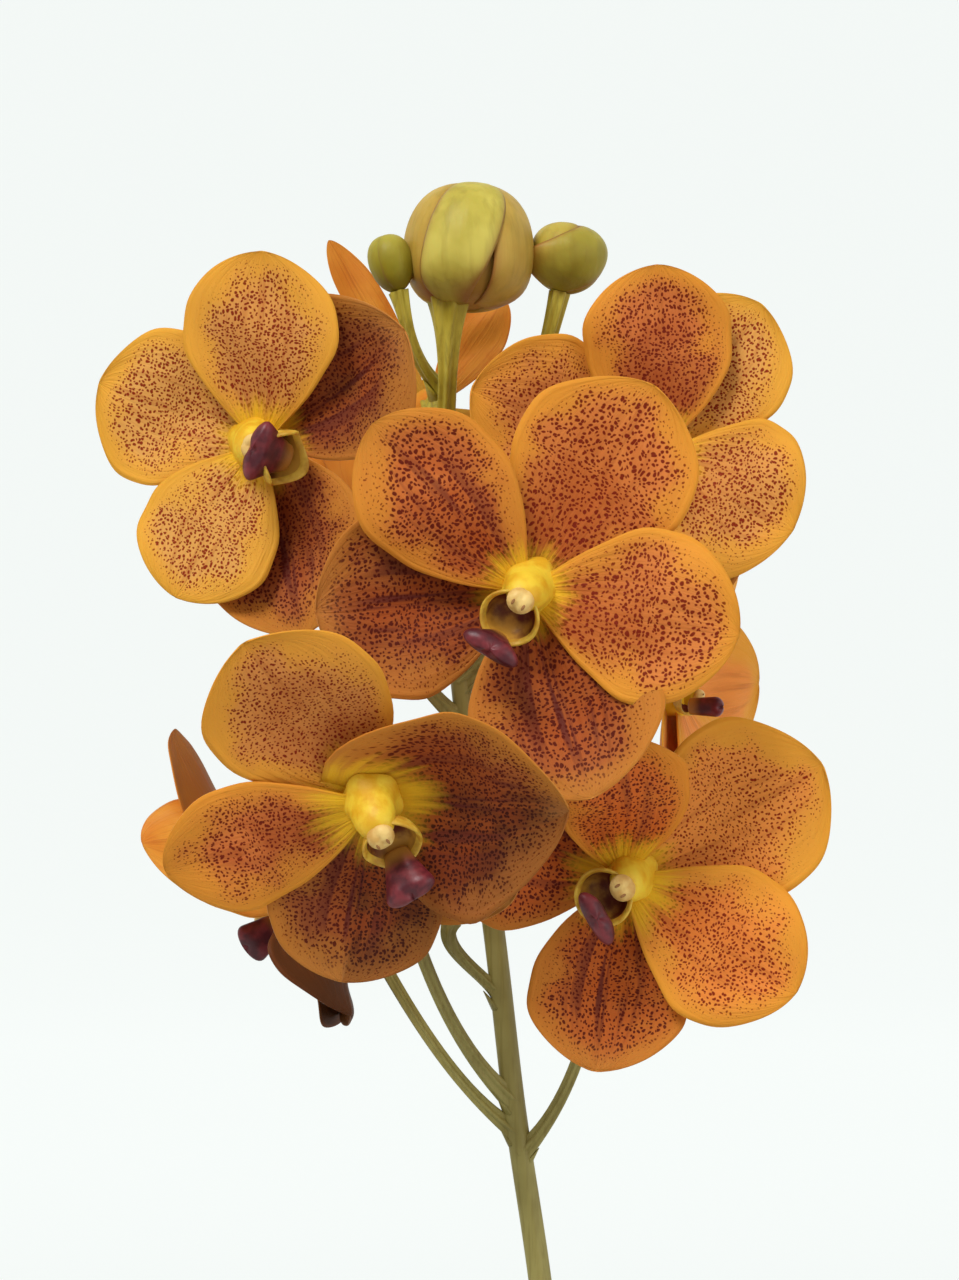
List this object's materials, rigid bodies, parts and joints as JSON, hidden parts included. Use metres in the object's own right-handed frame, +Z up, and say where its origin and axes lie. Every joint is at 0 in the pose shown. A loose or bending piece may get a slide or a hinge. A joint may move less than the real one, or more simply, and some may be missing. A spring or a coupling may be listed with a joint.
{
  "type": "potted vanda orchid",
  "caption": "Orchid with strap leaves and aerial roots in a clay pot of bark, with one upright spike of flat spotted orange blooms and green buds.",
  "frame": {"origin": "middle of the pot's underside, on the surface it stands on", "axes": "+Z up along the spike, -Y to the front of the flower head, +X to the viewer's right"},
  "size_m": [0.3894, 0.1495, 0.5567],
  "materials": {
    "clay": "matt unglazed terracotta",
    "bark": "rough dry bark chips",
    "stem": "fibrous green stem with dry sheaths",
    "root": "chalky silver-green root skin",
    "leaf": "leathery green, slight sheen",
    "spike": "smooth olive green stalk",
    "tepal": "waxy orange with dark red spots",
    "column": "waxy yellow",
    "lip": "waxy dark purple-brown",
    "bud": "waxy yellow-green"
  },
  "bodies": {
    "root": {"pot": "clay", "bark": "bark", "stem": "stem", "root_1": "root", "root_2": "root", "root_3": "root", "root_4": "root", "root_5": "root", "leaf_1": "leaf", "leaf_2": "leaf", "leaf_3": "leaf", "leaf_4": "leaf", "leaf_5": "leaf", "leaf_6": "leaf", "leaf_7": "leaf", "leaf_8": "leaf", "spike": "spike", "bloom_1": "tepal", "column_1": "column", "lip_1": "lip", "bloom_2": "tepal", "column_2": "column", "lip_2": "lip", "bloom_3": "tepal", "column_3": "column", "lip_3": "lip", "bloom_4": "tepal", "column_4": "column", "lip_4": "lip", "bloom_5": "tepal", "column_5": "column", "lip_5": "lip", "bloom_6": "tepal", "column_6": "column", "lip_6": "lip", "bloom_7": "tepal", "column_7": "column", "lip_7": "lip", "bloom_8": "tepal", "column_8": "column", "lip_8": "lip", "bloom_9": "tepal", "column_9": "column", "lip_9": "lip", "bud_1": "bud", "bud_2": "bud", "bud_3": "bud"}
  },
  "joints": []
}
